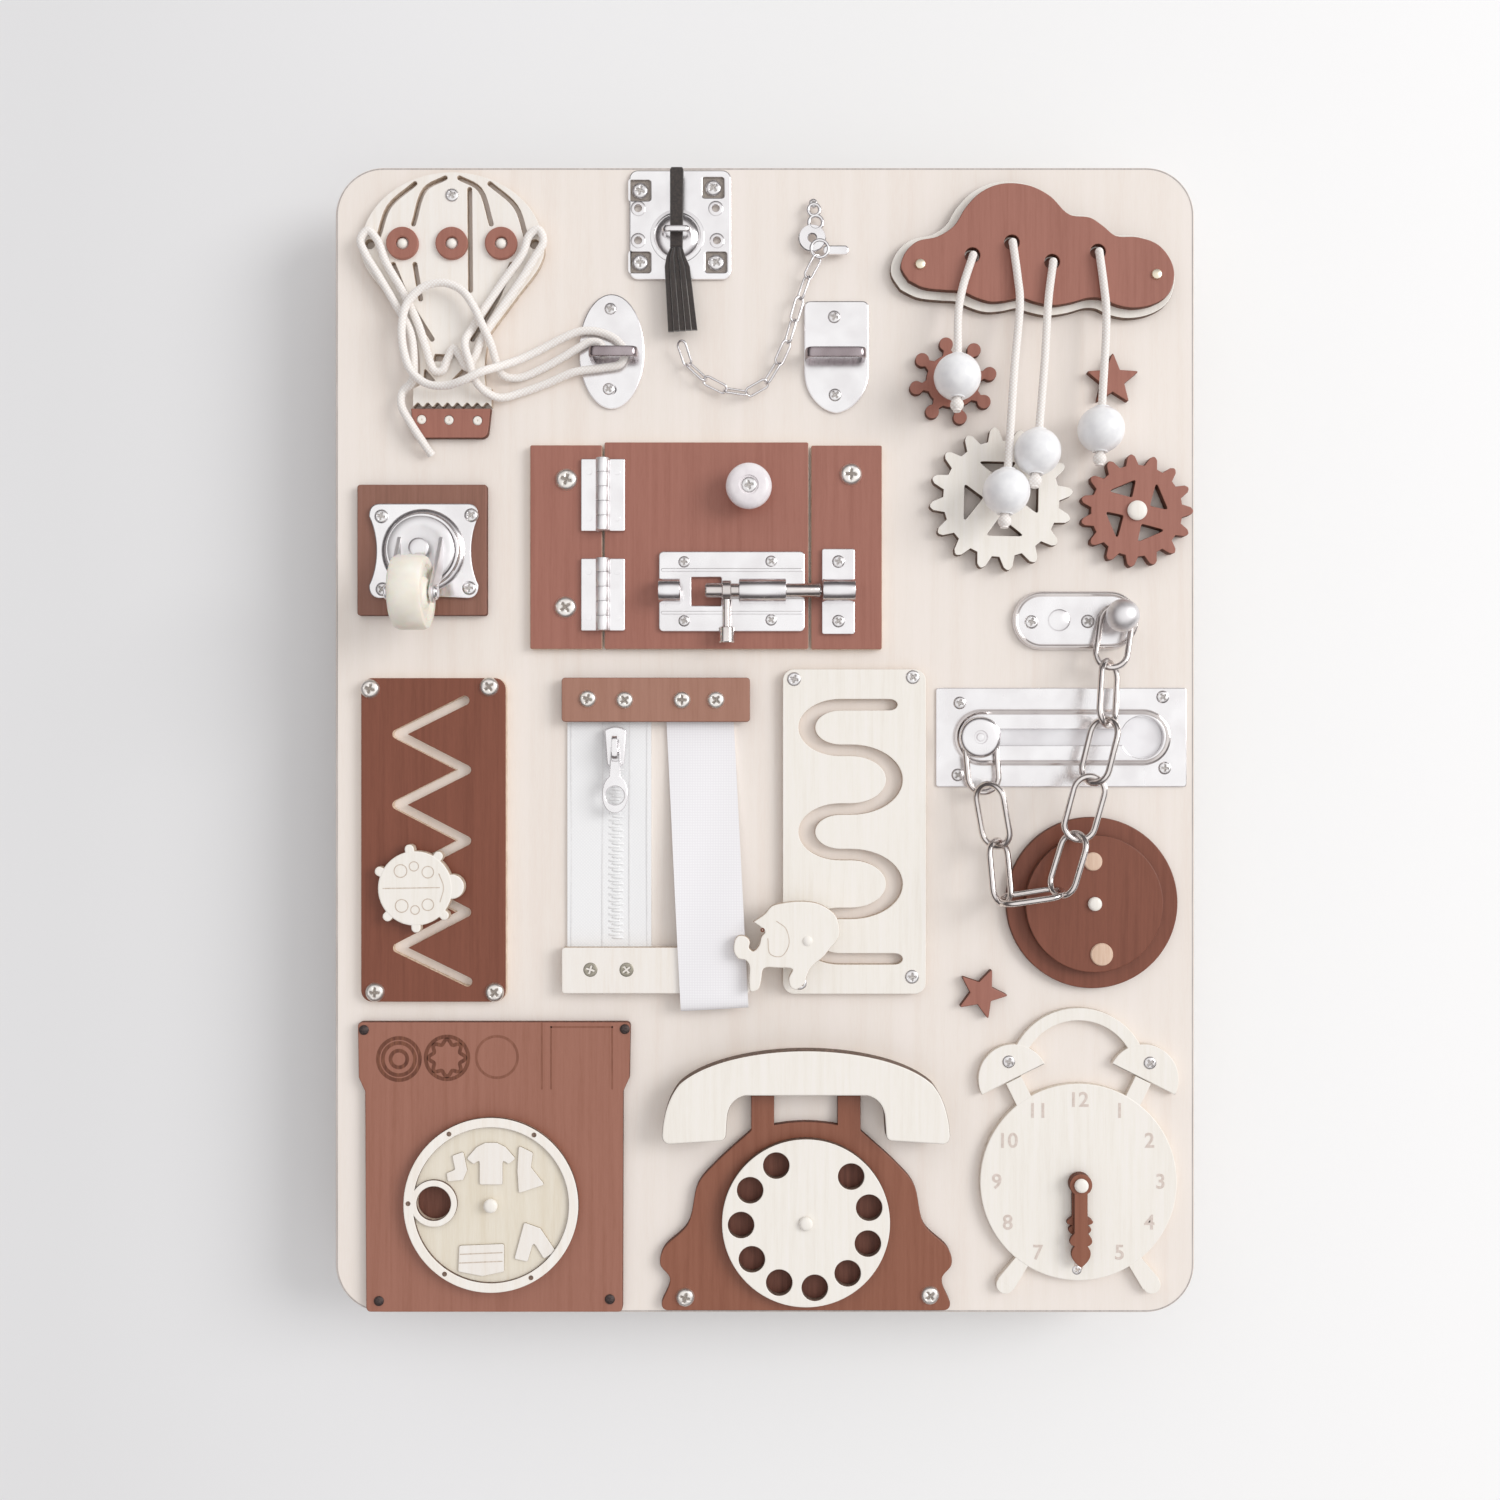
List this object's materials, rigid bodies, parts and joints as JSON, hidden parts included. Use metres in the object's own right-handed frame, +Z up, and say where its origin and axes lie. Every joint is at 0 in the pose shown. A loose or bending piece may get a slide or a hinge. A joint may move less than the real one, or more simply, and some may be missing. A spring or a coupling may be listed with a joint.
{
  "type": "busy board",
  "caption": "Upright plywood play board with latches, wheels, slides, a zip, a lace, beads on cords, a clock and a telephone.",
  "frame": {"origin": "centre of the board's back face, which lies on the wall", "axes": "+Z up along the board's long side, +Y into the wall, so the play side faces -Y, and +X to the right seen from the play side"},
  "size_m": [0.3, 0.0449, 0.4],
  "materials": {
    "birch": "smooth sanded birch plywood, sealed",
    "pale_wood": "smooth pale wood",
    "stained_wood": "reddish brown stained plywood",
    "steel": "bright zinc-plated steel",
    "chain_steel": "bright zinc-plated steel wire",
    "wheel_plastic": "translucent white nylon",
    "bead_paint": "white painted wood",
    "cord_cotton": "braided cotton cord",
    "tape_cloth": "woven cotton tape",
    "suede": "dark brown suede"
  },
  "bodies": {
    "board": {"base_board": "birch", "balloon_panel": "birch", "balloon_basket": "stained_wood", "lace_staple_plate": "steel", "hook_plate": "steel", "shield_staple_plate": "steel", "cloud": "stained_wood", "caster_backing": "stained_wood", "caster_plate": "steel", "door_strip_left": "stained_wood", "door_strip_right": "stained_wood", "bolt_keeper": "steel", "zigzag_panel": "stained_wood", "zip_top_bar": "stained_wood", "zip_tape": "tape_cloth", "zip_bottom_bar": "birch", "curve_panel": "birch", "chain_anchor": "steel", "chain_track": "steel", "spinner_base": "stained_wood", "washer_panel": "stained_wood", "phone_body": "stained_wood", "clock_face": "birch", "hinge_leaf_fixed_upper": "steel", "hinge_leaf_fixed_lower": "steel", "tassel_strap": "suede", "small_chain": "steel", "door_chain": "chain_steel", "lacing_cord": "cord_cotton", "strap": "tape_cloth"},
    "sun": {"sun_wheel": "stained_wood"},
    "light_gear": {"gear_light": "birch"},
    "dark_gear": {"gear_stained": "stained_wood"},
    "caster": {"caster_fork": "steel"},
    "wheel": {"caster_wheel": "wheel_plastic"},
    "door": {"door_panel": "stained_wood", "hinge_leaf_door_upper": "steel", "hinge_leaf_door_lower": "steel", "door_knob": "pale_wood", "bolt_housing": "steel"},
    "bolt": {"bolt_rod": "steel"},
    "bug": {"ladybug": "pale_wood"},
    "animal": {"elephant": "pale_wood"},
    "zip": {"zip_slider": "steel"},
    "pull": {"zip_pull": "steel"},
    "washer": {"washer_disc": "pale_wood"},
    "spinner": {"spinner_disc": "stained_wood"},
    "dial": {"phone_dial": "pale_wood"},
    "handset": {"phone_handset": "birch"},
    "hour": {"hour_hand": "stained_wood"},
    "minute": {"minute_hand": "stained_wood"},
    "slider": {"chain_slider": "chain_steel"},
    "string_1": {"bead_1": "bead_paint", "bead_cord_1": "cord_cotton"},
    "string_2": {"bead_2": "bead_paint", "bead_cord_2": "cord_cotton"},
    "string_3": {"bead_3": "bead_paint", "bead_cord_3": "cord_cotton"},
    "string_4": {"bead_4": "bead_paint", "bead_cord_4": "cord_cotton"}
  },
  "joints": [
    {"name": "sun_spin", "type": "hinge", "parent": "board", "child": "sun", "pos_m": [0.0652, -0.012, 0.1245], "axis": [0, -1, 0], "continuous": true},
    {"name": "light_gear_spin", "type": "hinge", "parent": "board", "child": "light_gear", "pos_m": [0.0817, -0.0125, 0.0834], "axis": [0, -1, 0], "continuous": true},
    {"name": "dark_gear_spin", "type": "hinge", "parent": "board", "child": "dark_gear", "pos_m": [0.1286, -0.0125, 0.0793], "axis": [0, -1, 0], "continuous": true},
    {"name": "caster_swivel", "type": "hinge", "parent": "board", "child": "caster", "pos_m": [-0.1181, -0.019, 0.0654], "axis": [0, -1, 0], "continuous": true},
    {"name": "wheel_roll", "type": "hinge", "parent": "caster", "child": "wheel", "pos_m": [-0.1181, -0.0325, 0.0491], "axis": [1, 0, 0], "continuous": true},
    {"name": "door_swing", "type": "hinge", "parent": "board", "child": "door", "pos_m": [-0.0561, -0.0156, 0.0674], "axis": [0, 0, -1], "range_deg": [0, 120]},
    {"name": "bolt_slide", "type": "slide", "parent": "door", "child": "bolt", "axis": [1, 0, 0], "range_m": [-0.0135, 0.0022]},
    {"name": "bug_slide", "type": "slide", "parent": "board", "child": "bug", "axis": [0.8884, 0, -0.459], "range_m": [-0.0075, 0.0182]},
    {"name": "animal_turn", "type": "hinge", "parent": "board", "child": "animal", "pos_m": [0.0198, -0.017, -0.0681], "axis": [0, -1, 0], "range_deg": [-60, 60]},
    {"name": "zip_slide", "type": "slide", "parent": "board", "child": "zip", "axis": [0, 0, -1], "range_m": [0, 0.056]},
    {"name": "pull_swing", "type": "hinge", "parent": "zip", "child": "pull", "pos_m": [-0.0518, -0.0156, -0.00345], "axis": [-1, 0, 0], "range_deg": [0, 120]},
    {"name": "washer_spin", "type": "hinge", "parent": "board", "child": "washer", "pos_m": [-0.0945, -0.015, -0.1604], "axis": [0, -1, 0], "continuous": true},
    {"name": "spinner_spin", "type": "hinge", "parent": "board", "child": "spinner", "pos_m": [0.1135, -0.015, -0.0565], "axis": [0, -1, 0], "continuous": true},
    {"name": "dial_spin", "type": "hinge", "parent": "board", "child": "dial", "pos_m": [0.0141, -0.015, -0.1666], "axis": [0, -1, 0], "continuous": true},
    {"name": "handset_lift", "type": "slide", "parent": "board", "child": "handset", "axis": [0, -1, 0], "range_m": [0, 0.06]},
    {"name": "hour_turn", "type": "hinge", "parent": "board", "child": "hour", "pos_m": [0.1088, -0.014, -0.1534], "axis": [0, -1, 0], "continuous": true},
    {"name": "minute_turn", "type": "hinge", "parent": "board", "child": "minute", "pos_m": [0.1088, -0.016, -0.1534], "axis": [0, -1, 0], "continuous": true},
    {"name": "chain_slide", "type": "slide", "parent": "board", "child": "slider", "axis": [1, 0, 0], "range_m": [0, 0.055]},
    {"name": "string_1_swing", "type": "hinge", "parent": "board", "child": "string_1", "pos_m": [0.0715, -0.0178, 0.1666], "axis": [-1, 0, 0], "range_deg": [0, 75]},
    {"name": "string_2_swing", "type": "hinge", "parent": "board", "child": "string_2", "pos_m": [0.0851, -0.0178, 0.171], "axis": [-1, 0, 0], "range_deg": [0, 75]},
    {"name": "string_3_swing", "type": "hinge", "parent": "board", "child": "string_3", "pos_m": [0.099, -0.0178, 0.1643], "axis": [-1, 0, 0], "range_deg": [0, 75]},
    {"name": "string_4_swing", "type": "hinge", "parent": "board", "child": "string_4", "pos_m": [0.1148, -0.0178, 0.1678], "axis": [-1, 0, 0], "range_deg": [0, 75]}
  ]
}
